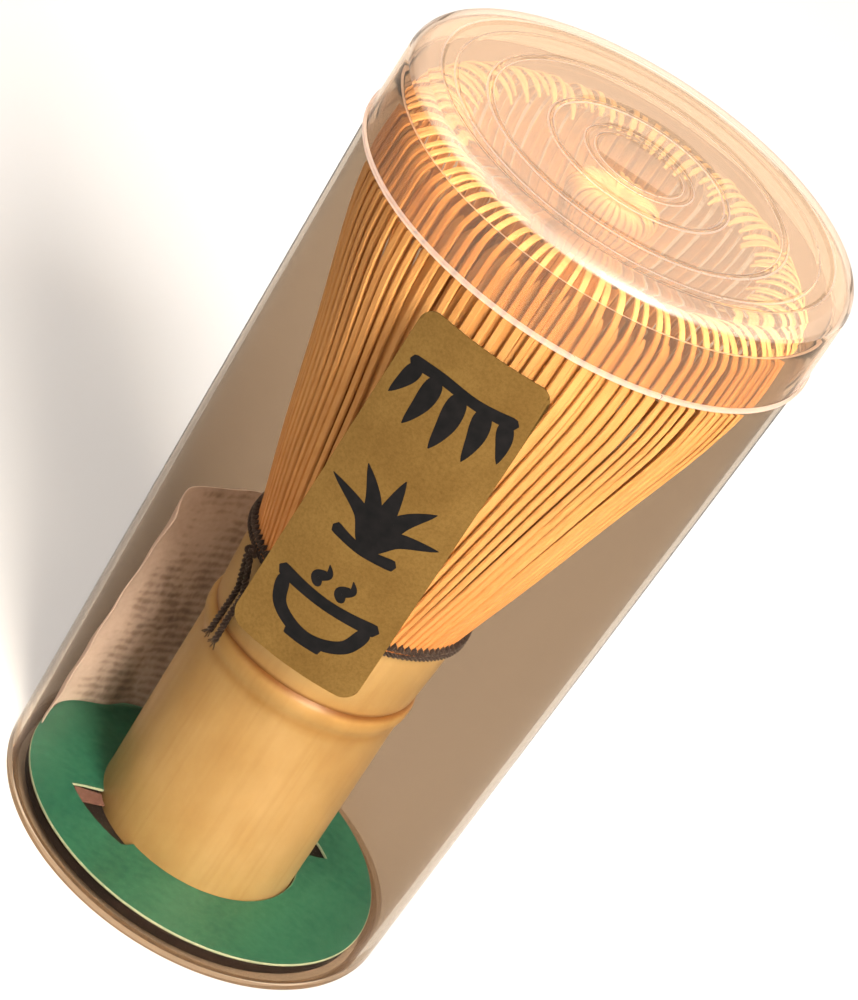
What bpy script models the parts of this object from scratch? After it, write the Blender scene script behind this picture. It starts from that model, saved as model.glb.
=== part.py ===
"""Bamboo tea whisk standing in its clear plastic case.

The whisk is a bamboo culm: a hollow handle with one node, a ring of outer tines that spread and
curl in at their tips, and a cone of inner tines gathered to a bud. A dark thread runs round the
tine roots and its two ends hang down the handle. The case is a tapered tube with a lid. It holds
a pad and a green card that centre the whisk's foot, a leaflet behind the handle, and a label on
the outside of the tube. Z is up, and the origin is the middle of the case's underside.
"""

import math

import bmesh
import bpy
from mathutils import Vector

MM = 0.001

# Clear gap that pieces resting on each other keep
REST_GAP = 0.3 * MM
TURN_STEPS = 48

# Case tube
TUBE_FOOT_RADIUS = 29.0 * MM
TUBE_SHOULDER_RADIUS = 32.05 * MM
TUBE_SHOULDER_Z = 107.4 * MM
TUBE_RIM_Z = 115.7 * MM
TUBE_WALL = 1.0 * MM
TUBE_FLOOR = 0.9 * MM
TUBE_EDGE_RADIUS = 2.2 * MM
NECK_OUTER_RADIUS = 31.4 * MM
NECK_WALL = 0.9 * MM

# Lid
LID_TOP_Z = 120.6 * MM
LID_SKIRT_Z = 107.8 * MM
LID_SKIRT_RADIUS = 32.6 * MM
LID_TOP_RADIUS = 32.2 * MM
LID_WALL = 0.85 * MM
LID_PLATE = 1.1 * MM
LID_EDGE_RADIUS = 2.4 * MM
LID_PANEL_RADIUS = 28.5 * MM
LID_PANEL_DROP = 0.4 * MM

# Label on the tube's front, turned a little to the left
LABEL_WIDTH = 19.2 * MM
LABEL_LOW_Z = 50.1 * MM
LABEL_TOP_Z = 102.8 * MM
LABEL_CORNER = 2.3 * MM
LABEL_THICKNESS = 0.2 * MM
LABEL_GAP = 0.2 * MM
LABEL_AZIMUTH = math.radians(265.6)
LABEL_COLUMNS = 12

# Pad and card under the whisk
PAD_RADIUS = 26.0 * MM
PAD_THICKNESS = 1.6 * MM
CARD_RADIUS = 26.3 * MM
CARD_THICKNESS = 0.4 * MM
CARD_SLOT_RADIUS = 20.0 * MM
CARD_SLOT_AZIMUTH = math.radians(47.0)
CARD_SLOT_HALF_ANGLE = math.radians(20.0)
DISC_POINTS = 72

# Leaflet: the route of its foot, as seen from above, left to right behind the handle
LEAFLET_ROUTE = [
    (-25.9 * MM, -2.0 * MM),
    (-26.0 * MM, 4.7 * MM),
    (-20.9 * MM, 10.5 * MM),
    (-16.9 * MM, 14.9 * MM),
    (-8.0 * MM, 19.5 * MM),
    (4.0 * MM, 21.5 * MM),
    (10.0 * MM, 20.5 * MM),
]
LEAFLET_HEIGHT = 40.0 * MM
LEAFLET_THICKNESS = 0.3 * MM
LEAFLET_STEPS = 4

# Whisk handle
HANDLE_RADIUS = 15.0 * MM
HANDLE_TOP_RADIUS = 15.7 * MM
HANDLE_TOP_Z = 49.2 * MM
HANDLE_BORE_RADIUS = 11.5 * MM
HANDLE_CUP_RADIUS = 13.0 * MM
HANDLE_EDGE_RADIUS = 0.5 * MM
NODE_LOW_Z = 34.2 * MM
NODE_GROOVE_Z = 37.8 * MM
NODE_RIDGE_RADIUS = 15.55 * MM
NODE_GROOVE_RADIUS = 14.95 * MM
DIAPHRAGM_LOW_Z = 31.5 * MM
DIAPHRAGM_TOP_Z = 35.5 * MM

# Tines
TINE_SECTORS = 8
TINES_PER_SECTOR = 12
TINE_THICKNESS = 0.5 * MM
TINE_ROOT_WIDTH = 0.75 * MM
TINE_BELLY_WIDTH = 1.15 * MM
TINE_TIP_WIDTH = 0.8 * MM
# Middle of an outer tine, root to tip, as (radius, height)
TINE_LINE = [
    (15.75 * MM, 49.5 * MM),
    (15.95 * MM, 51.6 * MM),
    (19.5 * MM, 64.5 * MM),
    (23.6 * MM, 80.5 * MM),
    (27.7 * MM, 96.5 * MM),
    (28.9 * MM, 104.5 * MM),
    (29.1 * MM, 110.8 * MM),
    (28.0 * MM, 114.0 * MM),
    (25.2 * MM, 115.4 * MM),
    (22.4 * MM, 114.0 * MM),
]

# Inner tines, gathered to a bud, as (radius, height) from the top down
BUD_OUTLINE = [
    (0.0, 116.0 * MM),
    (3.8 * MM, 115.8 * MM),
    (5.8 * MM, 114.8 * MM),
    (6.4 * MM, 113.0 * MM),
    (5.7 * MM, 110.6 * MM),
    (5.0 * MM, 107.0 * MM),
    (6.2 * MM, 92.0 * MM),
    (8.4 * MM, 76.0 * MM),
    (12.6 * MM, 49.5 * MM),
]
BUD_HOLLOW = [
    (11.4 * MM, 49.5 * MM),
    (7.2 * MM, 76.0 * MM),
    (5.0 * MM, 92.0 * MM),
    (0.0, 103.0 * MM),
]

# Thread
THREAD_ROUND_RADIUS = 16.85 * MM
THREAD_THICKNESS = 0.62 * MM
THREAD_LOW_Z = 49.8 * MM
THREAD_ROUND_PITCH = 0.85 * MM
KNOT_AZIMUTH = math.radians(222.0)
KNOT_RADIUS = 0.85 * MM
KNOT_DISTANCE = 18.25 * MM
KNOT_Z = 50.0 * MM
TAIL_THICKNESS = 0.75 * MM
TAIL_SPREAD = 1.1 * MM
TAIL_END_Z = 35.0 * MM
TAIL_POINTS = 8

CLEAR_PLASTIC = ((0.86, 0.78, 0.72, 1.0), 0.08, 0.0)
GOLD_PAPER = ((0.30, 0.19, 0.07, 1.0), 0.38, 0.6)
GREEN_CARD = ((0.03, 0.24, 0.12, 1.0), 0.55, 0.0)
BROWN_PAD = ((0.04, 0.015, 0.01, 1.0), 0.85, 0.0)
THIN_PAPER = ((0.55, 0.46, 0.44, 1.0), 0.7, 0.0)
HANDLE_BAMBOO = ((0.80, 0.50, 0.18, 1.0), 0.4, 0.0)
TINE_BAMBOO = ((0.83, 0.42, 0.12, 1.0), 0.5, 0.0)
INNER_BAMBOO = ((0.88, 0.60, 0.24, 1.0), 0.5, 0.0)
DARK_THREAD = ((0.03, 0.02, 0.02, 1.0), 0.8, 0.0)


def clear_scene():
    for thing in list(bpy.data.objects):
        bpy.data.objects.remove(thing, do_unlink=True)


def new_collection(name):
    collection = bpy.data.collections.new(name)
    bpy.context.scene.collection.children.link(collection)
    return collection


def new_material(name, look, clear=0.0):
    colour, roughness, metallic = look
    material = bpy.data.materials.new(name)
    material.use_nodes = True
    shader = material.node_tree.nodes["Principled BSDF"]
    shader.inputs["Base Color"].default_value = colour
    shader.inputs["Roughness"].default_value = roughness
    shader.inputs["Metallic"].default_value = metallic
    shader.inputs["Transmission Weight"].default_value = clear
    material.diffuse_color = colour
    return material


def place(name, data, material, collection, parent=None):
    thing = bpy.data.objects.new(name, data)
    collection.objects.link(thing)
    data.materials.append(material)
    thing.parent = parent
    return thing


def add_pivot(name, collection, parent=None):
    """An empty on the axis along which a body lifts."""
    pivot = bpy.data.objects.new(name, None)
    pivot.empty_display_size = 10 * MM
    collection.objects.link(pivot)
    pivot.parent = parent
    return pivot


def arc(centre, radius, start, end, steps):
    """Points of an arc in the radius-height plane, angles in degrees from +X."""
    points = []
    for step in range(steps + 1):
        angle = math.radians(start + (end - start) * step / steps)
        points.append((centre[0] + radius * math.cos(angle), centre[1] + radius * math.sin(angle)))
    return points


def turned(name, profile, material, collection, parent=None):
    """A solid of revolution about Z. The profile runs down its outer side."""
    mesh = bpy.data.meshes.new(name)
    vertices = [(radius, 0.0, height) for radius, height in profile]
    edges = [(index, index + 1) for index in range(len(profile) - 1)]
    mesh.from_pydata(vertices, edges, [])
    thing = place(name, mesh, material, collection, parent)
    screw = thing.modifiers.new("Turn", "SCREW")
    screw.axis = "Z"
    screw.steps = TURN_STEPS
    screw.render_steps = TURN_STEPS
    screw.use_merge_vertices = True
    screw.merge_threshold = 0.00001
    screw.use_smooth_shade = True
    return thing


def solidified(thing, thickness, offset):
    shell = thing.modifiers.new("Thickness", "SOLIDIFY")
    shell.thickness = thickness
    shell.offset = offset
    return thing


def tube_radius(height):
    """Outer radius of the tapered tube at a height."""
    draft = (TUBE_SHOULDER_RADIUS - TUBE_FOOT_RADIUS) / TUBE_SHOULDER_Z
    return TUBE_FOOT_RADIUS + draft * height


def build_case_tube(material, collection):
    inner_foot = TUBE_FOOT_RADIUS - TUBE_WALL
    inner_edge = TUBE_EDGE_RADIUS - TUBE_WALL
    neck_inner = NECK_OUTER_RADIUS - NECK_WALL
    step_low_z = TUBE_SHOULDER_Z - 2 * TUBE_WALL
    edge_z = TUBE_EDGE_RADIUS
    profile = [(0.0, TUBE_FLOOR)]
    profile += arc((inner_foot - inner_edge, TUBE_FLOOR + inner_edge), inner_edge, -90, 0, 2)
    profile.append((tube_radius(step_low_z) - TUBE_WALL, step_low_z))
    profile.append((neck_inner, TUBE_SHOULDER_Z))
    profile.append((neck_inner, TUBE_RIM_Z))
    profile.append((NECK_OUTER_RADIUS, TUBE_RIM_Z))
    profile.append((NECK_OUTER_RADIUS, TUBE_SHOULDER_Z))
    profile.append((TUBE_SHOULDER_RADIUS, TUBE_SHOULDER_Z))
    profile += arc((TUBE_FOOT_RADIUS - edge_z, edge_z), edge_z, 0, -90, 3)
    profile.append((0.0, 0.0))
    return turned("case_tube", profile, material, collection)


def build_case_lid(material, collection, parent):
    inner_top = LID_TOP_RADIUS - LID_WALL
    plate_low = LID_TOP_Z - LID_PLATE
    edge_centre = (LID_TOP_RADIUS - LID_EDGE_RADIUS, LID_TOP_Z - LID_EDGE_RADIUS)
    inner_edge = LID_EDGE_RADIUS - LID_WALL
    inner_centre = (inner_top - inner_edge, plate_low - inner_edge)
    panel_z = LID_TOP_Z - LID_PANEL_DROP
    profile = [(0.0, panel_z)]
    profile.append((LID_PANEL_RADIUS - LID_PANEL_DROP, panel_z))
    profile.append((LID_PANEL_RADIUS, LID_TOP_Z))
    profile += arc(edge_centre, LID_EDGE_RADIUS, 90, 0, 3)
    profile.append((LID_SKIRT_RADIUS, LID_SKIRT_Z))
    profile.append((LID_SKIRT_RADIUS - LID_WALL, LID_SKIRT_Z))
    profile += arc(inner_centre, inner_edge, 0, 90, 2)
    profile.append((0.0, plate_low))
    return turned("case_lid", profile, material, collection, parent)


def grid_sheet(name, columns, rows, point_at, keep_face, material, collection, parent=None):
    """A grid bent into shape: point_at gives each corner's place from its column and row."""
    sheet = bmesh.new()
    bmesh.ops.create_grid(sheet, x_segments=columns, y_segments=rows, size=1.0)
    gaps = []
    for face in sheet.faces:
        middle = face.calc_center_median()
        column = int((middle.x + 1) / 2 * columns)
        row = int((middle.y + 1) / 2 * rows)
        if not keep_face(column, row):
            gaps.append(face)
    bmesh.ops.delete(sheet, geom=gaps, context="FACES")
    for vertex in sheet.verts:
        column = round((vertex.co.x + 1) / 2 * columns)
        row = round((vertex.co.y + 1) / 2 * rows)
        vertex.co = Vector(point_at(column, row))
    sheet.normal_update()
    mesh = bpy.data.meshes.new(name)
    sheet.to_mesh(mesh)
    sheet.free()
    mesh.shade_smooth()
    return place(name, mesh, material, collection, parent)


def build_front_label(material, collection):
    """A rounded rectangle wrapped round the tapered tube."""
    half_width = LABEL_WIDTH / 2
    corner_steps = 4
    levels = []
    for step in range(corner_steps + 1):
        angle = math.radians(90 * step / corner_steps)
        inset = LABEL_CORNER * (1 - math.sin(angle))
        rise = LABEL_CORNER * (1 - math.cos(angle))
        levels.append((LABEL_LOW_Z + rise, half_width - inset))
    for height, half in reversed(levels[:]):
        levels.append((LABEL_LOW_Z + LABEL_TOP_Z - height, half))

    def point_at(column, row):
        height, half = levels[row]
        radius = tube_radius(height) + LABEL_GAP
        along = half * (2 * column / LABEL_COLUMNS - 1)
        azimuth = LABEL_AZIMUTH + along / radius
        return radius * math.cos(azimuth), radius * math.sin(azimuth), height

    def keep_face(column, row):
        return True

    rows = len(levels) - 1
    label = grid_sheet(
        "front_label", LABEL_COLUMNS, rows, point_at, keep_face, material, collection
    )
    return solidified(label, LABEL_THICKNESS, 1.0)


def polar_ring(radius_at, points):
    """A closed outline round the origin, from its radius at each azimuth."""
    ring = []
    for index in range(points):
        azimuth = 2 * math.pi * index / points
        radius = radius_at(azimuth)
        ring.append((radius * math.cos(azimuth), radius * math.sin(azimuth)))
    return ring


def die_cut_disc(name, radius, hole, low_z, thickness, material, collection):
    """A flat disc with a shaped hole, as a filled two-dimensional curve."""
    curve = bpy.data.curves.new(name, "CURVE")
    curve.dimensions = "2D"
    curve.fill_mode = "BOTH"
    curve.extrude = thickness / 2
    outline = polar_ring(lambda azimuth: radius, DISC_POINTS)
    for ring in (outline, hole):
        spline = curve.splines.new("POLY")
        spline.points.add(len(ring) - 1)
        for point, (x, y) in zip(spline.points, ring):
            point.co = (x, y, 0.0, 1.0)
        spline.use_cyclic_u = True
    disc = place(name, curve, material, collection)
    disc.location.z = low_z + thickness / 2
    return disc


def card_hole_radius(azimuth):
    """The card's hole fits the handle, with two reliefs facing each other."""
    off_axis = (azimuth - CARD_SLOT_AZIMUTH + math.pi / 2) % math.pi - math.pi / 2
    if abs(off_axis) <= CARD_SLOT_HALF_ANGLE:
        return CARD_SLOT_RADIUS
    return HANDLE_RADIUS + REST_GAP


def build_insert(pad_material, card_material, collection):
    pad_hole = polar_ring(lambda azimuth: HANDLE_RADIUS + REST_GAP, DISC_POINTS)
    pad_low_z = TUBE_FLOOR + REST_GAP
    die_cut_disc(
        "base_pad", PAD_RADIUS, pad_hole, pad_low_z, PAD_THICKNESS, pad_material, collection
    )
    card_hole = polar_ring(card_hole_radius, DISC_POINTS)
    card_low_z = pad_low_z + PAD_THICKNESS + REST_GAP
    die_cut_disc(
        "base_card", CARD_RADIUS, card_hole, card_low_z, CARD_THICKNESS, card_material, collection
    )
    return card_low_z + CARD_THICKNESS


def smooth_route(route, steps):
    """Points of a smooth curve through the route's own points."""
    ends = [route[0]] + route + [route[-1]]
    points = []
    for index in range(1, len(ends) - 2):
        before, start, end, after = (Vector(ends[index + shift]) for shift in (-1, 0, 1, 2))
        for step in range(steps):
            t = step / steps
            bend = 2 * before - 5 * start + 4 * end - after
            twist = 3 * start - before - 3 * end + after
            points.append(start + (t * (end - before) + t**2 * bend + t**3 * twist) / 2)
    points.append(Vector(route[-1]))
    return points


def build_leaflet(stand_z, material, collection):
    route = smooth_route(LEAFLET_ROUTE, LEAFLET_STEPS)
    low_z = stand_z + REST_GAP

    def point_at(column, row):
        return route[column].x, route[column].y, low_z + row * LEAFLET_HEIGHT

    def keep_face(column, row):
        return True

    leaflet = grid_sheet(
        "leaflet", len(route) - 1, 1, point_at, keep_face, material, collection
    )
    return solidified(leaflet, LEAFLET_THICKNESS, 0.0)


def build_whisk_handle(material, collection, parent):
    foot_z = TUBE_FLOOR + REST_GAP
    edge = HANDLE_EDGE_RADIUS
    ridge_z = (NODE_LOW_Z + NODE_GROOVE_Z) / 2
    ridge_half = 0.7 * MM
    profile = [(0.0, DIAPHRAGM_TOP_Z)]
    profile.append((HANDLE_CUP_RADIUS - 2 * edge, DIAPHRAGM_TOP_Z))
    profile.append((HANDLE_CUP_RADIUS, DIAPHRAGM_TOP_Z + 2 * edge))
    profile.append((HANDLE_CUP_RADIUS, HANDLE_TOP_Z))
    profile.append((HANDLE_TOP_RADIUS - edge, HANDLE_TOP_Z))
    profile.append((HANDLE_TOP_RADIUS, HANDLE_TOP_Z - edge))
    profile.append((HANDLE_RADIUS, NODE_GROOVE_Z + edge))
    profile.append((NODE_GROOVE_RADIUS, NODE_GROOVE_Z))
    profile.append((NODE_RIDGE_RADIUS, ridge_z + ridge_half))
    profile.append((NODE_RIDGE_RADIUS, ridge_z - ridge_half))
    profile.append((HANDLE_RADIUS, NODE_LOW_Z))
    profile += arc((HANDLE_RADIUS - edge, foot_z + edge), edge, 0, -90, 2)
    profile.append((HANDLE_BORE_RADIUS, foot_z))
    profile.append((HANDLE_BORE_RADIUS, DIAPHRAGM_LOW_Z - 2 * edge))
    profile.append((HANDLE_BORE_RADIUS - 2 * edge, DIAPHRAGM_LOW_Z))
    profile.append((0.0, DIAPHRAGM_LOW_Z))
    return turned("whisk_handle", profile, material, collection, parent)


def tine_width(row):
    """Width of a tine at a row of its line: widest at the belly, narrow at root and tip."""
    along = row / (len(TINE_LINE) - 1)
    if along < 0.4:
        return TINE_ROOT_WIDTH + (TINE_BELLY_WIDTH - TINE_ROOT_WIDTH) * along / 0.4
    return TINE_BELLY_WIDTH + (TINE_TIP_WIDTH - TINE_BELLY_WIDTH) * (along - 0.4) / 0.6


def build_outer_tines(material, collection, parent):
    """Each sector is a comb: a short root band, and tines that rise from it."""
    pitch = 2 * math.pi / (TINE_SECTORS * TINES_PER_SECTOR)
    columns = 2 * TINES_PER_SECTOR - 1

    def keep_face(column, row):
        return column % 2 == 0 or row == 0

    for sector in range(TINE_SECTORS):

        def point_at(column, row):
            radius, height = TINE_LINE[row]
            tine = sector * TINES_PER_SECTOR + column // 2
            side = column % 2 - 0.5
            azimuth = (tine + 0.5) * pitch + side * tine_width(row) / radius
            return radius * math.cos(azimuth), radius * math.sin(azimuth), height

        comb = grid_sheet(
            f"outer_tines_{sector + 1}",
            columns,
            len(TINE_LINE) - 1,
            point_at,
            keep_face,
            material,
            collection,
            parent,
        )
        solidified(comb, TINE_THICKNESS, 0.0)


def build_inner_tines(material, collection, parent):
    return turned("inner_tines", BUD_OUTLINE + BUD_HOLLOW, material, collection, parent)


def build_thread_rounds(material, collection, parent):
    for number, name in enumerate(("thread_round_lower", "thread_round_upper")):
        bpy.ops.mesh.primitive_torus_add(
            major_radius=THREAD_ROUND_RADIUS,
            minor_radius=THREAD_THICKNESS / 2,
            major_segments=TURN_STEPS,
            minor_segments=6,
            location=(0.0, 0.0, THREAD_LOW_Z + number * THREAD_ROUND_PITCH),
        )
        thread = bpy.context.object
        thread.name = name
        thread.data.materials.append(material)
        thread.data.shade_smooth()
        for owner in list(thread.users_collection):
            owner.objects.unlink(thread)
        collection.objects.link(thread)
        thread.parent = parent


def build_thread_knot(material, collection, parent):
    mesh = bpy.data.meshes.new("thread_knot")
    ball = bmesh.new()
    bmesh.ops.create_uvsphere(ball, u_segments=12, v_segments=8, radius=KNOT_RADIUS)
    ball.to_mesh(mesh)
    ball.free()
    mesh.shade_smooth()
    knot = place("thread_knot", mesh, material, collection, parent)
    knot.location.x = KNOT_DISTANCE * math.cos(KNOT_AZIMUTH)
    knot.location.y = KNOT_DISTANCE * math.sin(KNOT_AZIMUTH)
    knot.location.z = KNOT_Z


def build_thread_tails(material, collection, parent):
    """Two loose ends that hang from the knot and settle against the handle."""
    outward = Vector((math.cos(KNOT_AZIMUTH), math.sin(KNOT_AZIMUTH), 0.0))
    sideways = Vector((-outward.y, outward.x, 0.0))
    top_z = KNOT_Z - KNOT_RADIUS - REST_GAP
    rest_distance = NODE_RIDGE_RADIUS + TAIL_THICKNESS / 2 + REST_GAP
    for name, side in (("thread_tail_left", -1), ("thread_tail_right", 1)):
        curve = bpy.data.curves.new(name, "CURVE")
        curve.dimensions = "3D"
        curve.bevel_depth = TAIL_THICKNESS / 2
        curve.bevel_resolution = 2
        curve.use_fill_caps = True
        spline = curve.splines.new("POLY")
        spline.points.add(TAIL_POINTS - 1)
        for index, point in enumerate(spline.points):
            along = index / (TAIL_POINTS - 1)
            settle = min(1.0, 2.5 * along)
            distance = KNOT_DISTANCE + (rest_distance - KNOT_DISTANCE) * settle
            spread = side * TAIL_SPREAD * (0.55 + 0.45 * settle)
            spot = outward * distance + sideways * spread
            point.co = (spot.x, spot.y, top_z + (TAIL_END_Z - top_z) * along, 1.0)
        place(name, curve, material, collection, parent)


def main():
    clear_scene()
    parts = new_collection("bamboo_tea_whisk")

    clear_plastic = new_material("clear_plastic", CLEAR_PLASTIC, clear=0.9)
    gold_paper = new_material("gold_paper", GOLD_PAPER)
    green_card = new_material("green_card", GREEN_CARD)
    brown_pad = new_material("brown_pad", BROWN_PAD)
    thin_paper = new_material("thin_paper", THIN_PAPER)
    handle_bamboo = new_material("handle_bamboo", HANDLE_BAMBOO)
    tine_bamboo = new_material("tine_bamboo", TINE_BAMBOO)
    inner_bamboo = new_material("inner_bamboo", INNER_BAMBOO)
    dark_thread = new_material("dark_thread", DARK_THREAD)

    build_case_tube(clear_plastic, parts)
    build_front_label(gold_paper, parts)
    card_top_z = build_insert(brown_pad, green_card, parts)
    build_leaflet(card_top_z, thin_paper, parts)

    whisk = add_pivot("whisk_lift", parts)
    build_whisk_handle(handle_bamboo, parts, whisk)
    build_outer_tines(tine_bamboo, parts, whisk)
    build_inner_tines(inner_bamboo, parts, whisk)
    build_thread_rounds(dark_thread, parts, whisk)
    build_thread_knot(dark_thread, parts, whisk)
    build_thread_tails(dark_thread, parts, whisk)

    lid = add_pivot("lid_lift", parts, whisk)
    build_case_lid(clear_plastic, parts, lid)


main()
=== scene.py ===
"""Looks of the bamboo tea whisk that stands in its clear plastic case.

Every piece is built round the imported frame, in metres, with Z up. The whisk's tines, the thread and
the clear case are finer meshes that stand for the plain solids of the frame.
"""

import random
from math import cos, exp, hypot, pi, radians, sin, sqrt

import bmesh
import bpy
from mathutils import Matrix, Vector


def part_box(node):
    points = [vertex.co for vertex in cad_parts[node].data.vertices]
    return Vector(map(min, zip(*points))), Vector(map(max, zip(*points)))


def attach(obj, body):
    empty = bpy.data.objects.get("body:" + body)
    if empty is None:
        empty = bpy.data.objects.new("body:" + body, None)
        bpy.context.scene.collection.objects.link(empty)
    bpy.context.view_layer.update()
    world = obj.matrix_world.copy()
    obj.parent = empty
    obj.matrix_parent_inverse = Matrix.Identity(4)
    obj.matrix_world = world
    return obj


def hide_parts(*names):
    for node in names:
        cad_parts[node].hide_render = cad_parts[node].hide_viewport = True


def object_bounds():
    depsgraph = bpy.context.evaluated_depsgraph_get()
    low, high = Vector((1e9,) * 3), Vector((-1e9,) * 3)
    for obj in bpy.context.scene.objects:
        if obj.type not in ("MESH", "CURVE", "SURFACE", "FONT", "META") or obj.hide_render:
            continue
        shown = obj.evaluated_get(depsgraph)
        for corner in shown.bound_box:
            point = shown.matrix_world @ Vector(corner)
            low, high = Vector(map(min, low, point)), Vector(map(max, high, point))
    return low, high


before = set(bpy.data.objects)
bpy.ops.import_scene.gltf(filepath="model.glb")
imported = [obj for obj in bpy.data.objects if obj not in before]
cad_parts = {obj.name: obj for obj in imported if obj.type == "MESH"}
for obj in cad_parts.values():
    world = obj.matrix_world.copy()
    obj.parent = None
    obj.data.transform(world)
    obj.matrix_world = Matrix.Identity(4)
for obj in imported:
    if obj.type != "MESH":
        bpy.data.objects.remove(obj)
cad_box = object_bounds()

MM = 0.001
UP = Vector((0.0, 0.0, 1.0))
WHITE = (1.0, 1.0, 1.0)
REST_GAP = 0.3 * MM


def in_metres(rows):
    return [tuple(value * MM for value in row) for row in rows]


# Sizes read from the frame
tube_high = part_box("case_tube")[1]
lid_low, lid_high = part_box("case_lid")
label_low, label_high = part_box("front_label")
pad_low, pad_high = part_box("base_pad")
card_low, card_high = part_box("base_card")
leaflet_low, leaflet_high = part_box("leaflet")
handle_low, handle_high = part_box("whisk_handle")
thread_low_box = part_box("thread_round_lower")
thread_high_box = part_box("thread_round_upper")
tail_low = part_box("thread_tail_left")[0]

# Case tube
TUBE_FOOT_RADIUS = 29.0 * MM
TUBE_SHOULDER_RADIUS = tube_high.x
TUBE_SHOULDER_Z = 107.4 * MM
TUBE_RIM_Z = tube_high.z
TUBE_WALL = 1.0 * MM
TUBE_FLOOR = 0.9 * MM
TUBE_EDGE_RADIUS = 2.2 * MM
NECK_OUTER_RADIUS = 31.4 * MM
NECK_WALL = 0.9 * MM

# Lid
LID_TOP_Z = lid_high.z
LID_SKIRT_Z = lid_low.z
LID_SKIRT_RADIUS = lid_high.x
LID_TOP_RADIUS = 32.2 * MM
LID_WALL = 0.85 * MM
LID_PLATE = 1.1 * MM
LID_EDGE_RADIUS = 2.4 * MM
LID_PANEL_RADIUS = 28.5 * MM
LID_PANEL_DROP = 0.4 * MM
# Turned ridges on the lid's panel: radius, width and height
LID_RIDGES = in_metres(
    [(26.1, 0.9, 0.1), (21.3, 1.1, 0.15), (12.7, 1.0, 0.15), (7.6, 0.8, 0.12), (6.2, 0.6, 0.1)]
)
# Bands of the lid's panel in milky plastic, a painted highlight along its ridges, as pairs of inner and
# outer radius
LID_PAINTED_HIGHLIGHT_BANDS = in_metres(
    [(28.25, 28.6), (26.25, 26.45), (21.6, 21.85), (20.75, 20.95)]
    + [(12.95, 13.15), (12.2, 12.4), (7.8, 8.0), (6.35, 6.5)]
)
LID_LIP_HEIGHT = 0.8 * MM

# Label
LABEL_WIDTH = 19.2 * MM
LABEL_CORNER = 2.3 * MM
LABEL_GAP = 0.1 * MM
LABEL_THICKNESS = 0.14 * MM
LABEL_COLUMNS = 40
LABEL_CORNER_STEPS = 8
LABEL_AZIMUTH = radians(265.6)
INK_THICKNESS = 0.03 * MM
# Heights of the three motifs on the label, as shares of its own
MOTIF_HEIGHTS = (0.80, 0.49, 0.19)
# A brush bar is rounded over this share of its length at each end
BAR_END = 1 / 9

# Card and pad
SLOT_RADIUS = 20.0 * MM
SLOT_AZIMUTH = radians(47.0)
SLOT_HALF_ANGLE = radians(20.0)
HANDLE_RADIUS = 15.0 * MM
HOLE_SHIFT = -0.3 * MM
DISC_STEPS = 360
# The bent stub in the front relief
TAB_START = SLOT_AZIMUTH + radians(162.0)
TAB_SPAN = radians(8.0)

# Leaflet
LEAFLET_THICKNESS = 0.14 * MM
LEAFLET_ROWS = 48
# The share of its length over which the top left corner leans in, and how far
LEAFLET_CORNER = 0.16
LEAFLET_LEAN = 1.5 * MM
# The route of its foot, as seen from above
LEAFLET_ROUTE = in_metres(
    [(-25.9, -2.0), (-26.0, 4.7), (-20.9, 10.5), (-16.9, 14.9), (-8.0, 19.5), (4.0, 21.5), (10.0, 20.5)]
)

# Handle
HANDLE_TOP_RADIUS = 15.7 * MM
HANDLE_BORE_RADIUS = 11.5 * MM
HANDLE_CUP_RADIUS = 13.0 * MM
NODE_LOW_Z = 34.2 * MM
NODE_GROOVE_Z = 37.8 * MM
DIAPHRAGM_LOW_Z = 31.5 * MM
DIAPHRAGM_TOP_Z = 35.5 * MM

# Outer tines
TINE_SECTORS = 8
TINES_PER_SECTOR = 12
TINE_COUNT = TINE_SECTORS * TINES_PER_SECTOR
TINE_PITCH = 2 * pi / TINE_COUNT
TINE_THICKNESS = 0.5 * MM
TINE_ROOT_WIDTH = 0.8 * MM
TINE_BELLY_WIDTH = 1.16 * MM
TINE_TIP_WIDTH = 0.86 * MM
# The straight part of a tine, root to shoulder, as (radius, height)
TINE_LINE = in_metres(
    [(15.6, 49.5), (15.8, 51.6), (19.4, 64.5), (23.5, 80.5), (27.7, 96.5), (28.9, 104.5), (29.1, 109.8)]
)
TINE_CURL_REACH = 5.0 * MM
TINE_CURL_RISE = 4.0 * MM
TINE_TOP_Z = 115.4 * MM
# A tine across its length, as shares of its width and thickness, skin side first
TINE_SECTION = [(-0.36, 0.5), (0.36, 0.5), (0.5, -0.1), (0.3, -0.5), (-0.3, -0.5), (-0.5, -0.1)]
# How much of each point is on the skin: the tine material gives the inward faces, and in part the sides,
# a painted shade
TINE_SKIN = [1.0, 1.0, 0.6, 0.0, 0.0, 0.6]
BACKING_DEPTH = 0.72 * MM
BACKING_ROOT_WIDTH = 0.7 * MM
BACKING_WIDTH = 1.35 * MM
BACKING_THICKNESS = 0.36 * MM
BACKING_BEND = 3.6 * MM

# Inner tines
INNER_TINES = 72
# A tine's line from its root to the bud, as (radius, height)
INNER_LINE = in_metres(
    [(12.4, 49.5), (8.2, 76.0), (6.0, 92.0), (4.8, 104.0), (4.9, 107.5), (5.6, 110.8)]
    + [(6.1, 113.2), (5.6, 114.9), (4.2, 115.6), (2.5, 115.4), (1.3, 114.2)]
)

# The cut whisk isn't quite straight: a height, and how far it leans along X there
WHISK_LEAN = in_metres(
    [(0.0, -0.35), (36.0, -0.85), (50.0, -0.95), (64.0, -0.72), (80.0, -0.38), (96.0, -0.2)]
    + [(121.0, -0.15)]
)

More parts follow.
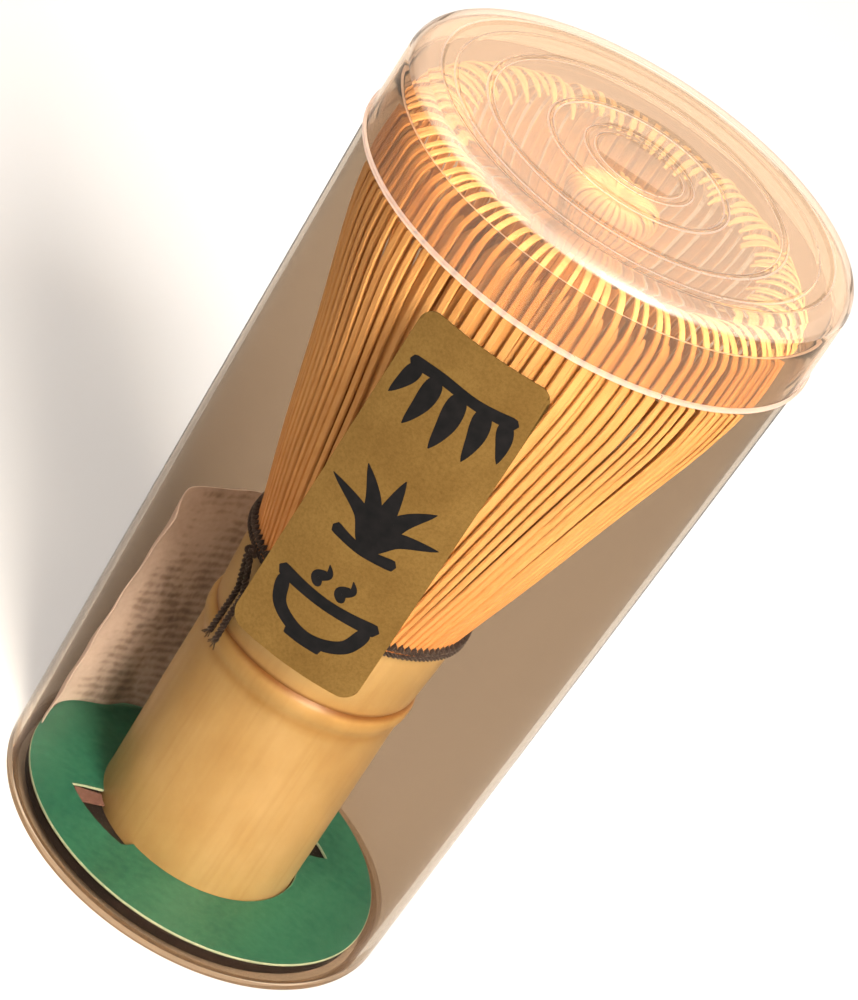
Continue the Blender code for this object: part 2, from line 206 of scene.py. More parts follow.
# Thread
THREAD_ROUND_RADIUS = 16.55 * MM
THREAD_PLY_RADIUS = 0.2 * MM
THREAD_TURNS = 72
ROUND_POINTS = 960
WOVEN_RADIUS = 0.27 * MM
KNOT_THREAD_RADIUS = 0.3 * MM
KNOT_POINTS = 90
KNOT_AZIMUTH = radians(222.0)
KNOT_DISTANCE = 17.8 * MM
KNOT_Z = 50.0 * MM
TAIL_SPREAD = 0.9 * MM
TAIL_PLY_RADIUS = 0.27 * MM
TAIL_TURNS = 9
TAIL_STEPS = 80
TAIL_FIBRES = 7
FIBRE_RADIUS = 0.07 * MM

# Camera
CAMERA_TARGET = Vector((1.27 * MM, 0.0, 64.5 * MM))
CAMERA_DISTANCE = 574.7 * MM
CAMERA_ELEVATION = radians(28.16)
CAMERA_TURN = radians(33.61)
CAMERA_LENS = 158.9

FLOOR_SIZE = 4.0
FLOOR_DROP = 0.05 * MM

# Area lights: azimuth and elevation in degrees, distance, size, power and colour
LIGHTS = {
    "key": (30, 34, 1.6, (0.5, 1.0), 63.0, (1.0, 0.94, 0.86)),
    "front_strip": (4, 52, 1.3, (1.2, 0.7), 7.0, (1.0, 0.96, 0.92)),
    "top": (-100, 62, 1.3, (0.9, 0.9), 8.0, (1.0, 0.97, 0.93)),
    "fill": (-80, 45, 1.4, (1.0, 1.0), 3.0, (1.0, 0.94, 0.88)),
    "back": (180, 27, 1.2, (0.6, 0.3), 0.85, (1.0, 0.75, 0.58)),
}

# Clear plastics: tint, clarity, roughness, refraction, the film that lamps meet, wear, gloss and its
# roughness
PLASTICS = {
    "clear_tube_plastic": ((0.535, 0.45, 0.365), 1.0, 0.0, 1.035, (0.97, 0.96, 0.94), 0.01, 0.0, 0.0),
    # The foot plastic is a darker copy of the tube's: painted shade along the tube's rounded foot
    "clear_foot_plastic_painted_shade": ((0.27, 0.18, 0.11), 1.0, 0.0, 1.035, (0.97, 0.96, 0.94), 0.01, 0.0, 0.0),
    # Milky plastic whose pale diffuse share is a painted highlight, on the tube's rim, the lid's lip and
    # bands along the lid's ridges
    "milky_plastic_painted_highlight": ((0.82, 0.68, 0.6), 0.7, 0.2, 1.12, (0.9, 0.88, 0.86), 0.1, 0.2, 0.25),
    "clear_lid_plastic": ((0.81, 0.64, 0.49), 0.96, 0.0, 1.05, (0.95, 0.92, 0.89), 0.02, 0.0, 0.08),
    # The lid top's milky share is partly the plate's own haze and partly a painted reflection: the pale
    # veil of light off the plate
    "clear_lid_top_plastic": (
        (0.80, 0.66, 0.52), 0.87, 0.015, 1.05, (0.62, 0.57, 0.52), 0.02, 0.8, 0.06
    ),
    "lid_rim_plastic": ((0.88, 0.74, 0.62), 0.86, 0.02, 1.06, (0.9, 0.87, 0.84), 0.05, 1.0, 0.38),
}


# ---- mesh tools


class Shape:
    """Collects lofted bodies into one mesh, with values per point for its material."""

    def __init__(self):
        self.points = []
        self.faces = []
        self.shade = []
        self.along = []
        self.skin = []

    def loft(self, rings, shade=0.5, closed=False, skins=None):
        """A body through rings of points, capped at its ends or joined end to end."""
        start = len(self.points)
        sides = len(rings[0])
        count = len(rings)
        for number, ring in enumerate(rings):
            for place_in_ring, point in enumerate(ring):
                self.points.append(tuple(point))
                self.shade.append(shade)
                self.along.append(number / max(1, count - 1))
                self.skin.append(skins[place_in_ring] if skins else 1.0)
        rows = count if closed else count - 1
        for row in range(rows):
            low = start + row * sides
            high = start + (row + 1) % count * sides
            for side in range(sides):
                beside = (side + 1) % sides
                self.faces.append((low + side, low + beside, high + beside, high + side))
        if not closed:
            last = start + (count - 1) * sides
            self.faces.append(tuple(start + side for side in reversed(range(sides))))
            self.faces.append(tuple(last + side for side in range(sides)))

    def build(self, name, material, sharp=40.0):
        mesh = bpy.data.meshes.new(name)
        mesh.from_pydata(self.points, [], self.faces)
        for label, values in (("shade", self.shade), ("along", self.along), ("skin", self.skin)):
            attribute = mesh.attributes.new(label, "FLOAT", "POINT")
            attribute.data.foreach_set("value", values)
        return finish_mesh(name, mesh, material, sharp)


def finish_mesh(name, mesh, material, sharp):
    """Faces turned outward, shaded smooth with sharp corners, and put in the scene."""
    work = bmesh.new()
    work.from_mesh(mesh)
    bmesh.ops.recalc_face_normals(work, faces=work.faces)
    work.to_mesh(mesh)
    work.free()
    mesh.shade_smooth()
    mesh.set_sharp_from_angle(angle=radians(sharp))
    mesh.materials.append(material)
    return add_object(name, mesh)


def add_object(name, data):
    thing = bpy.data.objects.new(name, data)
    bpy.context.scene.collection.objects.link(thing)
    return thing


def arc(centre, radius, start, end, steps):
    """Points of an arc in the radius-height plane, angles in degrees from +X."""
    points = []
    for step in range(steps + 1):
        angle = radians(start + (end - start) * step / steps)
        points.append((centre[0] + radius * cos(angle), centre[1] + radius * sin(angle)))
    return points


def smooth_route(route, steps):
    """Points of a smooth curve through the route's own points."""
    ends = [route[0]] + list(route) + [route[-1]]
    points = []
    for index in range(1, len(ends) - 2):
        before, start, end, after = (Vector(ends[index + shift]) for shift in (-1, 0, 1, 2))
        for step in range(steps):
            t = step / steps
            bend = 2 * before - 5 * start + 4 * end - after
            twist = 3 * start - before - 3 * end + after
            points.append(start + (t * (end - before) + t**2 * bend + t**3 * twist) / 2)
    points.append(Vector(route[-1]))
    return points


def turned(name, profile, material, steps=192, move=None, sharp=35.0):
    """A solid of revolution, its profile closed on the axis. move may bend it out of round."""
    points = []
    rows = []
    for radius, height in profile:
        if radius < 1e-7:
            rows.append([len(points)])
            points.append((0.0, 0.0, height))
            continue
        row = []
        for step in range(steps):
            azimuth = 2 * pi * step / steps
            r, z = move(radius, azimuth, height) if move else (radius, height)
            row.append(len(points))
            points.append((r * cos(azimuth), r * sin(azimuth), z))
        rows.append(row)
    faces = []
    for upper, lower in zip(rows, rows[1:]):
        for step in range(steps):
            beside = (step + 1) % steps
            if len(upper) == 1:
                faces.append((upper[0], lower[step], lower[beside]))
            elif len(lower) == 1:
                faces.append((upper[step], lower[0], upper[beside]))
            else:
                faces.append((upper[step], lower[step], lower[beside], upper[beside]))
    mesh = bpy.data.meshes.new(name)
    mesh.from_pydata(points, [], faces)
    return finish_mesh(name, mesh, material, sharp)


def heading(route, index, closed=False):
    """The direction of a route at one of its points."""
    count = len(route)
    after = route[(index + 1) % count] if closed or index + 1 < count else route[index]
    before = route[index - 1] if closed or index > 0 else route[index]
    return (after - before).normalized()


def tube_rings(route, radius, sides, closed=False):
    """Rings of points round a route, turned as little as they can be along it."""
    rings = []
    across = heading(route, 0, closed).orthogonal()
    for index, spot in enumerate(route):
        ahead = heading(route, index, closed)
        across = (across - ahead * across.dot(ahead)).normalized()
        up = ahead.cross(across)
        ring = []
        for side in range(sides):
            angle = 2 * pi * side / sides
            ring.append(spot + (across * cos(angle) + up * sin(angle)) * radius)
        rings.append(ring)
    return rings


def polar(radius, azimuth, height):
    return Vector((radius * cos(azimuth), radius * sin(azimuth), height))


def outward_and_sideways(azimuth):
    """Two level directions: away from the axis, and round it."""
    outward = Vector((cos(azimuth), sin(azimuth), 0.0))
    return outward, Vector((-outward.y, outward.x, 0.0))


def tube_radius(height):
    """Outer radius of the tapered tube at a height."""
    draft = (TUBE_SHOULDER_RADIUS - TUBE_FOOT_RADIUS) / TUBE_SHOULDER_Z
    return TUBE_FOOT_RADIUS + draft * height


def lean_whisk(piece):
    """Moves a whisk piece's points sideways, by the lean at each one's height."""
    for vertex in piece.data.vertices:
        for (low, first), (high, last) in zip(WHISK_LEAN, WHISK_LEAN[1:]):
            if low <= vertex.co.z < high:
                vertex.co.x += first + (last - first) * (vertex.co.z - low) / (high - low)
                break


def place(piece, body, slot, *nodes):
    """Lets a piece ride on its body, in place of the nodes that it stands for."""
    if body == "whisk":
        lean_whisk(piece)
    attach(piece, body)
    if nodes:
        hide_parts(*nodes)


# ---- material tools


def new_material(name):
    material = bpy.data.materials.new(name)
    material.use_nodes = True
    tree = material.node_tree
    return material, tree, tree.nodes["Principled BSDF"]


def feed(tree, socket, value):
    """Gives a socket a value, or links another node's output to it."""
    if isinstance(value, bpy.types.NodeSocket):
        tree.links.new(value, socket)
    else:
        socket.default_value = value


def set_inputs(tree, node, **values):
    """Feeds a node's inputs. Spaces in their names are written as underscores."""
    for label, value in values.items():
        feed(tree, node.inputs[label.replace("_", " ")], value)


def add_node(tree, kind, **values):
    node = tree.nodes.new(kind)
    set_inputs(tree, node, **values)
    return node


def object_space(tree, scale):
    """Object coordinates, stretched."""
    coordinates = tree.nodes.new("ShaderNodeTexCoord").outputs["Object"]
    return add_node(tree, "ShaderNodeMapping", Vector=coordinates, Scale=scale).outputs["Vector"]


def noise(tree, scale, detail=4.0, roughness=0.55):
    """Noise that stays with the object, at a scale of its own along each axis."""
    vector = object_space(tree, scale)
    return add_node(
        tree, "ShaderNodeTexNoise", Vector=vector, Scale=1.0, Detail=detail, Roughness=roughness
    ).outputs["Fac"]


def ramp(tree, factor, stops):
    """A colour ramp. stops are (position, colour) pairs."""
    node = tree.nodes.new("ShaderNodeValToRGB")
    elements = node.color_ramp.elements
    while len(elements) < len(stops):
        elements.new(0.5)
    for element, (position, colour) in zip(elements, stops):
        element.position = position
        element.color = (*colour, 1.0)
    tree.links.new(factor, node.inputs["Fac"])
    return node.outputs["Color"]


def blend(tree, kind, factor, first, second):
    """Two colours mixed by a Mix node of the kind given."""
    node = tree.nodes.new("ShaderNodeMix")
    node.data_type = "RGBA"
    node.blend_type = kind
    for number, value in ((0, factor), (6, first), (7, second)):
        feed(tree, node.inputs[number], value)
    return node.outputs[2]


def calculate(tree, operation, first, second):
    node = tree.nodes.new("ShaderNodeMath")
    node.operation = operation
    feed(tree, node.inputs[0], first)
    feed(tree, node.inputs[1], second)
    return node.outputs[0]


def attribute(tree, name):
    node = tree.nodes.new("ShaderNodeAttribute")
    node.attribute_name = name
    return node.outputs["Fac"]


def vary_roughness(tree, shader, pattern, low, high):
    """Roughness that goes from one value to another with a pattern."""
    rough = ramp(tree, pattern, [(0.3, (low,) * 3), (0.7, (high,) * 3)])
    set_inputs(tree, shader, Roughness=rough)


def add_bump(tree, shader, height, strength, distance):
    node = add_node(tree, "ShaderNodeBump", Height=height, Strength=strength, Distance=distance)
    set_inputs(tree, shader, Normal=node.outputs["Normal"])


def mix_surface(tree, share, first, second):
    """Makes the material's surface a mix of two shaders."""
    mix = tree.nodes.new("ShaderNodeMixShader")
    for number, value in enumerate((share, first.outputs[0], second.outputs[0])):
        feed(tree, mix.inputs[number], value)
    set_inputs(tree, tree.nodes["Material Output"], Surface=mix.outputs[0])


def height_above_origin(tree):
    coordinates = tree.nodes.new("ShaderNodeTexCoord")
    split = add_node(tree, "ShaderNodeSeparateXYZ", Vector=coordinates.outputs["Object"])
    return split.outputs["Z"]


def let_lamps_through(tree, shader, tint):
    """Lamps reach what is inside the clear case: their rays meet a clear film in place of glass."""
    shadow_ray = tree.nodes.new("ShaderNodeLightPath").outputs["Is Shadow Ray"]
    film = add_node(tree, "ShaderNodeBsdfTransparent", Color=(*tint, 1.0))
    mix_surface(tree, shadow_ray, shader, film)


def clear_plastic(name, tint, clarity, roughness, refraction, film, wear, gloss, gloss_roughness):
    """Clear moulded plastic: tinted, glossy, with faint flow marks and fine scratches."""
    material, tree, shader = new_material(name)
    flow = noise(tree, (60.0, 60.0, 12.0), 3.0)
    scratches = noise(tree, (900.0, 900.0, 90.0), 2.0)
    marks = calculate(tree, "MULTIPLY", calculate(tree, "ADD", flow, scratches), wear)
    set_inputs(
        tree,
        shader,
        Base_Color=(*tint, 1.0),
        Roughness=calculate(tree, "ADD", marks, roughness),
        Transmission_Weight=clarity,
        IOR=refraction,
        Coat_Weight=gloss,
        Coat_Roughness=gloss_roughness,
        Coat_IOR=1.5,
    )
    let_lamps_through(tree, shader, film)
    return material


def bamboo_skin():
    """Polished culm: straw yellow, with long fibres and pores. The node's groove is darker, partly its
    own colour and partly painted shade, with painted shade under the node's ridge.
    """
    material, tree, shader = new_material("bamboo_skin")
    fibres = noise(tree, (900.0, 900.0, 14.0), 6.0, 0.6)
    clouds = noise(tree, (90.0, 90.0, 45.0), 5.0, 0.6)
    base = ramp(
        tree,
        clouds,
        [(0.32, (0.395, 0.275, 0.113)), (0.5, (0.45, 0.335, 0.15)), (0.68, (0.505, 0.39, 0.195))],
    )
    streaks = ramp(
        tree,
        fibres,
        [(0.35, (0.90, 0.86, 0.78)), (0.52, WHITE), (0.75, (1.03, 1.01, 0.98))],
    )
    grained = blend(tree, "MULTIPLY", 0.6, base, streaks)
    span = 60.0 * MM
    height = calculate(tree, "MULTIPLY", height_above_origin(tree), 1.0 / span)
    # Painted shade across the node: a darker band under its ridge and in its groove, the groove partly in
    # the node's own darker colour
    painted_node_shades = [
        (32.4, WHITE),
        (33.8, (0.90, 0.78, 0.58)),
        (34.9, (1.0, 0.99, 0.95)),
        (36.9, (1.0, 0.93, 0.80)),
        (37.55, (0.52, 0.27, 0.12)),
        (37.85, (0.48, 0.24, 0.10)),
        (38.5, (1.0, 0.92, 0.80)),
        (40.0, WHITE),
    ]
    node_painted_shade = ramp(tree, height, [(at * MM / span, colour) for at, colour in painted_node_shades])
    shaded = blend(tree, "MULTIPLY", 0.9, grained, node_painted_shade)
    set_inputs(tree, shader, Base_Color=shaded)
    vary_roughness(tree, shader, clouds, 0.30, 0.42)
    set_inputs(tree, shader, Coat_Weight=0.12, Coat_Roughness=0.5)
    add_bump(tree, shader, fibres, 0.12, 0.1 * MM)
    return material


def bamboo_tine(name, root, belly, tip):
    """Split bamboo: a tint of its own for each tine, warmer at the root and pale at the curl, with
    painted shade on the faces that turn inward.
    """
    material, tree, shader = new_material(name)
    along = attribute(tree, "along")
    base = ramp(tree, along, [(0.0, root), (0.25, belly), (0.66, belly), (0.8, tip), (1.0, tip)])
    own = ramp(
        tree,
        attribute(tree, "shade"),
        [
            (0.0, (0.80, 0.62, 0.44)),
            (0.3, (0.93, 0.88, 0.79)),
            (0.7, WHITE),
            (1.0, (1.08, 1.06, 0.98)),
        ],
    )
    fibres = noise(tree, (1500.0, 1500.0, 40.0), 4.0, 0.6)
    streaks = ramp(tree, fibres, [(0.3, (0.78, 0.68, 0.56)), (0.55, WHITE)])
    # Painted shade on the faces that turn inward and, in part, on the sides
    inward_painted_shade = ramp(tree, attribute(tree, "skin"), [(0.1, (0.50, 0.40, 0.30)), (0.9, WHITE)])
    tinted = blend(tree, "MULTIPLY", 1.0, blend(tree, "MULTIPLY", 0.85, base, own), inward_painted_shade)
    set_inputs(tree, shader, Base_Color=blend(tree, "MULTIPLY", 0.55, tinted, streaks))
    vary_roughness(tree, shader, fibres, 0.62, 0.42)
    add_bump(tree, shader, fibres, 0.25, 0.1 * MM)
    return material


def thread_material():
    """Dark cotton with a fuzzy surface."""
    material, tree, shader = new_material("dark_cotton")
    fuzz = noise(tree, (2500.0, 2500.0, 2500.0), 3.0)
    colour = ramp(tree, fuzz, [(0.3, (0.012, 0.008, 0.010)), (0.7, (0.05, 0.035, 0.035))])
    set_inputs(tree, shader, Base_Color=colour)
    set_inputs(tree, shader, Roughness=0.85, Sheen_Weight=0.25)
    add_bump(tree, shader, fuzz, 0.5, 0.1 * MM)
    return material


def gold_paper():
    """Matt gold paper with a fine tooth and faint clouds."""
    material, tree, shader = new_material("gold_paper_print")
    tooth = noise(tree, (2200.0, 2200.0, 2200.0), 4.0, 0.7)
    clouds = noise(tree, (130.0, 130.0, 90.0), 3.0)
    base = ramp(tree, clouds, [(0.3, (0.155, 0.085, 0.021)), (0.7, (0.195, 0.112, 0.030))])
    specks = ramp(tree, tooth, [(0.3, (0.72, 0.68, 0.60)), (0.6, WHITE)])
    set_inputs(tree, shader, Base_Color=blend(tree, "MULTIPLY", 0.7, base, specks))
    set_inputs(tree, shader, Metallic=0.8, Specular_IOR_Level=0.12)
    vary_roughness(tree, shader, tooth, 0.50, 0.44)
    add_bump(tree, shader, tooth, 0.3, 0.05 * MM)
    return material


def black_ink():
    """Matt black, a little uneven."""
    material, tree, shader = new_material("black_ink")
    blots = noise(tree, (700.0, 700.0, 700.0), 3.0)
    colour = ramp(tree, blots, [(0.3, (0.002, 0.002, 0.002)), (0.7, (0.006, 0.005, 0.005))])
    set_inputs(tree, shader, Base_Color=colour)
    vary_roughness(tree, shader, blots, 0.45, 0.6)
    set_inputs(tree, shader, Specular_IOR_Level=0.08)
    return material


def card_material(name, low, high, roughness, bump):
    """Card or fibre board: two tones of one colour, with a fibrous tooth."""
    material, tree, shader = new_material(name)
    fibres = noise(tree, (900.0, 900.0, 900.0), 5.0, 0.65)
    clouds = noise(tree, (90.0, 90.0, 90.0), 3.0)
    mixed = blend(tree, "MIX", 0.5, fibres, clouds)
    set_inputs(tree, shader, Base_Color=ramp(tree, mixed, [(0.35, low), (0.65, high)]))
    vary_roughness(tree, shader, fibres, roughness + 0.1, roughness - 0.05)
    add_bump(tree, shader, fibres, bump, 0.1 * MM)
    return material


def leaflet_paper():
    """Thin paper that lets some light through, with blurred grey print that holds no letters."""
    material, tree, shader = new_material("leaflet_paper")
    fibres = noise(tree, (1200.0, 1200.0, 1200.0))
    paper = ramp(tree, fibres, [(0.3, (0.86, 0.79, 0.78)), (0.7, (0.97, 0.90, 0.89))])
    place_on_sheet = object_space(tree, (1.0, 1.0, 1.0))
    rows = add_node(tree, "ShaderNodeTexWave", Vector=place_on_sheet, Scale=210.0, Distortion=2.5)
    set_inputs(tree, rows, Detail_Scale=2.5)
    rows.wave_type = "BANDS"
    rows.bands_direction = "Z"
    words = noise(tree, (620.0, 620.0, 240.0), 3.0, 0.6)
    patches = noise(tree, (75.0, 75.0, 55.0), 2.0)
    blots = calculate(tree, "MULTIPLY", words, calculate(tree, "ADD", rows.outputs["Fac"], 1.6))
    printed = ramp(
        tree,
        attribute(tree, "along"),
        [(0.13, (0.0, 0.0, 0.0)), (0.24, (0.75, 0.75, 0.75)), (0.4, WHITE)],
    )
    mask = calculate(tree, "MULTIPLY", calculate(tree, "MULTIPLY", blots, patches), printed)
    ink = ramp(
        tree, mask, [(0.34, WHITE), (0.65, (0.66, 0.62, 0.60)), (0.95, (0.48, 0.45, 0.44))]
    )
    colour = blend(tree, "MULTIPLY", 0.95, paper, ink)
    set_inputs(tree, shader, Base_Color=colour, Roughness=0.6)
    creases = noise(tree, (160.0, 160.0, 90.0), 3.0)
    add_bump(tree, shader, creases, 0.6, 0.8 * MM)
    glow = add_node(tree, "ShaderNodeBsdfTranslucent", Color=colour)
    mix_surface(tree, 0.4, shader, glow)
    return material


# ---- the clear case


def build_case_tube(material, edge_painted_highlight, foot):
    inner_foot = TUBE_FOOT_RADIUS - TUBE_WALL
    inner_edge = TUBE_EDGE_RADIUS - TUBE_WALL
    neck_inner = NECK_OUTER_RADIUS - NECK_WALL
    step_low_z = TUBE_SHOULDER_Z - 2 * TUBE_WALL
    edge = TUBE_EDGE_RADIUS
    rim = NECK_WALL / 2
    shoulder = 0.25 * MM
    profile = [(0.0, TUBE_FLOOR)]
    profile += arc((inner_foot - inner_edge, TUBE_FLOOR + inner_edge), inner_edge, -90, 0, 6)
    profile.append((tube_radius(step_low_z) - TUBE_WALL, step_low_z))
    profile.append((neck_inner, TUBE_SHOULDER_Z))
    profile += arc((neck_inner + rim, TUBE_RIM_Z - rim), rim, 180, 0, 8)
    profile.append((NECK_OUTER_RADIUS, TUBE_SHOULDER_Z))
    corner = (TUBE_SHOULDER_RADIUS - shoulder, TUBE_SHOULDER_Z - shoulder)
    profile += arc(corner, shoulder, 90, 0, 4)
    profile += arc((TUBE_FOOT_RADIUS - edge, edge), edge, 0, -90, 8)
    profile.append((0.0, 0.0))
    tube = turned("case_tube_clear", profile, material)
    tube.data.materials.append(edge_painted_highlight)
    tube.data.materials.append(foot)
    for face in tube.data.polygons:
        radius = hypot(face.center.x, face.center.y)
        # The tip of the rim takes the milky plastic: a painted highlight
        if face.center.z > TUBE_RIM_Z - 0.12 * rim:
            face.material_index = 1
        # The rounded foot takes the darker foot plastic, a painted shade
        elif face.center.z < TUBE_EDGE_RADIUS and radius > pad_high.x:
            face.material_index = 2
    place(tube, "case", "clear_plastic", "case_tube")


def ridge_points(radius, width, height, base_z, steps=8):
    """A low rounded ridge on the lid's panel, from its inner to its outer foot."""
    points = []
    for step in range(steps + 1):
        across = step / steps
        rise = sin(pi * across) ** 2
        points.append((radius + (across - 0.5) * width, base_z + height * rise))
    return points


def build_case_lid(material, edge_painted_highlight, top, rim):
    inner_top = LID_TOP_RADIUS - LID_WALL
    plate_low = LID_TOP_Z - LID_PLATE
    inner_edge = LID_EDGE_RADIUS - LID_WALL
    panel_z = LID_TOP_Z - LID_PANEL_DROP
    lip = 0.3 * MM
    profile = [(0.0, panel_z)]
    for radius, width, height in reversed(LID_RIDGES):
        profile += ridge_points(radius, width, height, panel_z)
    profile.append((LID_PANEL_RADIUS - 2 * LID_PANEL_DROP, panel_z))
    profile.append((LID_PANEL_RADIUS - 1.4 * LID_PANEL_DROP, panel_z + 0.15 * LID_PANEL_DROP))
    profile.append((LID_PANEL_RADIUS - 0.6 * LID_PANEL_DROP, panel_z + 0.85 * LID_PANEL_DROP))
    profile.append((LID_PANEL_RADIUS, LID_TOP_Z))
    corner = (LID_TOP_RADIUS - LID_EDGE_RADIUS, LID_TOP_Z - LID_EDGE_RADIUS)
    profile += arc(corner, LID_EDGE_RADIUS, 90, 0, 10)
    profile.append((LID_SKIRT_RADIUS - lip, LID_SKIRT_Z + LID_LIP_HEIGHT))
    profile.append((LID_SKIRT_RADIUS, LID_SKIRT_Z + 2.2 * lip))
    profile += arc((LID_SKIRT_RADIUS - lip, LID_SKIRT_Z + lip), lip, 0, -90, 4)
    profile.append((LID_SKIRT_RADIUS - LID_WALL, LID_SKIRT_Z))
    inner_corner = (inner_top - inner_edge, plate_low - inner_edge)
    profile += arc(inner_corner, inner_edge, 0, 90, 6)
    profile.append((0.0, plate_low))
    lid = turned("case_lid_clear", profile, material)
    for extra in (edge_painted_highlight, top, rim):
        lid.data.materials.append(extra)
    for face in lid.data.polygons:
        radius = hypot(face.center.x, face.center.y)
        # The skirt's lip and the bands along the ridges take the milky plastic: a painted highlight
        if face.center.z < LID_SKIRT_Z + LID_LIP_HEIGHT:
            face.material_index = 1
        elif radius > LID_PANEL_RADIUS and face.center.z > LID_TOP_Z - 0.75 * LID_EDGE_RADIUS:
            face.material_index = 3
        # The panel takes the lid top plastic, whose milky share is partly a painted reflection
        elif face.center.z > plate_low - 0.01 * MM and radius < LID_PANEL_RADIUS:
            face.material_index = 2
            for inner, outer in LID_PAINTED_HIGHLIGHT_BANDS:
                if inner < radius < outer and face.center.z > plate_low + 0.1 * MM:
                    face.material_index = 1
    place(lid, "lid", "clear_plastic_lid", "case_lid")


# ---- label


def on_label(across, height, lift):
    """A point on the label: across its width and up it, from its middle, lifted off the tube."""
    radius = tube_radius(height) + LABEL_GAP + lift
    azimuth = LABEL_AZIMUTH + across / (tube_radius(height) + LABEL_GAP)
    return polar(radius, azimuth, height)


def build_label(material):
    levels = []
    for step in range(LABEL_CORNER_STEPS + 1):
        angle = radians(90 * step / LABEL_CORNER_STEPS)
        inset = LABEL_CORNER * (1 - sin(angle))
        rise = LABEL_CORNER * (1 - cos(angle))
        levels.append((label_low.z + rise, LABEL_WIDTH / 2 - inset))
    for height, half in reversed(levels[:]):
        levels.append((label_low.z + label_high.z - height, half))
    rings = []
    for column in range(LABEL_COLUMNS + 1):
        side = 2 * column / LABEL_COLUMNS - 1
        front = [on_label(side * half, height, LABEL_THICKNESS) for height, half in levels]
        back = [on_label(side * half, height, 0.0) for height, half in levels]
        rings.append(front + back[::-1])
    label = Shape()
    label.loft(rings)
    place(label.build("front_label_paper", material, sharp=50.0), "case", "gold_paper", "front_label")


def brush_stroke(shape, profile, width, route, middle_z):
    """A stroke of ink along a route of (across, up) points in millimetres from the motif's middle."""
    points = smooth_route([(across * MM, up * MM) for across, up in route], 8)
    rings = []
    for index, point in enumerate(points):
        ahead = heading(points, index)
        side = Vector((-ahead.y, ahead.x)) * profile(index / (len(points) - 1)) * width * MM / 2
        spots = [point + side * share for share in (-1.0, -0.5, 0.0, 0.5, 1.0)]
        top = [on_label(x, middle_z + y, LABEL_THICKNESS + INK_THICKNESS) for x, y in spots]
        foot = [on_label(x, middle_z + y, LABEL_THICKNESS) for x, y in spots]
        rings.append(top + foot[::-1])
    shape.loft(rings)


def bar(t):
    """A brush bar's width along it: blunt round ends, a little thinner in its middle."""
    near_end = max(0.0, 1 - min(t, 1 - t) / BAR_END)
    return max(0.05, sqrt(1 - near_end**2)) * (1 - 0.22 * sin(pi * t))


def leaf(t):
    """A leaf's width along it: pointed at its tip, fullest a third of the way along."""
    return max(0.04, sin(pi * t**0.62) ** 0.9)


# Strokes of the three motifs, each with its width: a bamboo spray, a tuft of grass and a tea bowl
MOTIFS = [
    [
        (bar, 1.9, [(-7.8, 3.3), (-3.0, 3.9), (2.5, 3.7), (7.9, 4.2)]),
        (leaf, 2.2, [(-6.2, 3.4), (-6.9, 0.8), (-7.9, -2.2)]),
        (leaf, 2.6, [(-3.4, 3.6), (-3.5, -0.4), (-4.3, -4.4)]),
        (leaf, 2.8, [(0.0, 3.7), (0.4, -0.8), (0.1, -5.0)]),
        (leaf, 2.6, [(3.4, 3.8), (4.2, 0.0), (4.3, -4.0)]),
        (leaf, 2.2, [(6.3, 3.9), (7.4, 1.2), (8.1, -1.8)]),
    ],
    [
        (leaf, 2.5, [(0.0, -5.4), (-2.2, -1.6), (-8.2, 0.4)]),
        (leaf, 2.5, [(0.1, -5.4), (-1.8, 0.6), (-5.0, 4.6)]),
        (leaf, 2.9, [(0.3, -5.5), (0.4, 0.0), (0.2, 5.8)]),
        (leaf, 2.5, [(0.5, -5.4), (2.4, 0.4), (5.6, 4.2)]),
        (leaf, 2.5, [(0.6, -5.4), (3.0, -2.0), (8.2, -0.2)]),
        (bar, 1.8, [(-4.6, -5.3), (0.0, -5.9), (4.9, -5.2)]),
    ],
    [
        (bar, 2.1, [(-7.6, 0.9), (0.0, 0.5), (7.7, 1.1)]),
        (bar, 2.2, [(-6.3, 0.4), (-5.0, -3.2), (-1.6, -4.9), (1.8, -4.9), (5.1, -3.1), (6.4, 0.6)]),
        (bar, 1.6, [(-2.6, -5.6), (0.0, -5.8), (2.8, -5.5)]),
        (leaf, 1.6, [(-1.9, 2.0), (-2.7, 3.2), (-1.5, 4.3), (-2.1, 5.6)]),
        (leaf, 1.6, [(1.7, 2.0), (0.9, 3.2), (2.1, 4.3), (1.5, 5.6)]),
    ],
]


def build_motifs(material):
    ink = Shape()
    for share, strokes in zip(MOTIF_HEIGHTS, MOTIFS):
        middle_z = label_low.z + share * (label_high.z - label_low.z)
        for profile, width, route in strokes:
            brush_stroke(ink, profile, width, route, middle_z)
    place(ink.build("label_motifs", material, sharp=50.0), "case", "gold_paper")


# ---- card, pad and leaflet


def pad_hole(azimuth):
    return HANDLE_RADIUS + REST_GAP


def card_hole(azimuth):
    """The card's hole fits the handle, with two tapered reliefs facing each other."""
    off_axis = (azimuth - SLOT_AZIMUTH + pi / 2) % pi - pi / 2
    edge = radians(1.6)
    depth = min(1.0, max(0.0, (SLOT_HALF_ANGLE - abs(off_axis)) / edge))
    near = HANDLE_RADIUS - 0.05 * MM
    taper = 0.68 - 0.32 * off_axis / SLOT_HALF_ANGLE
    return near + (SLOT_RADIUS - near) * depth * taper


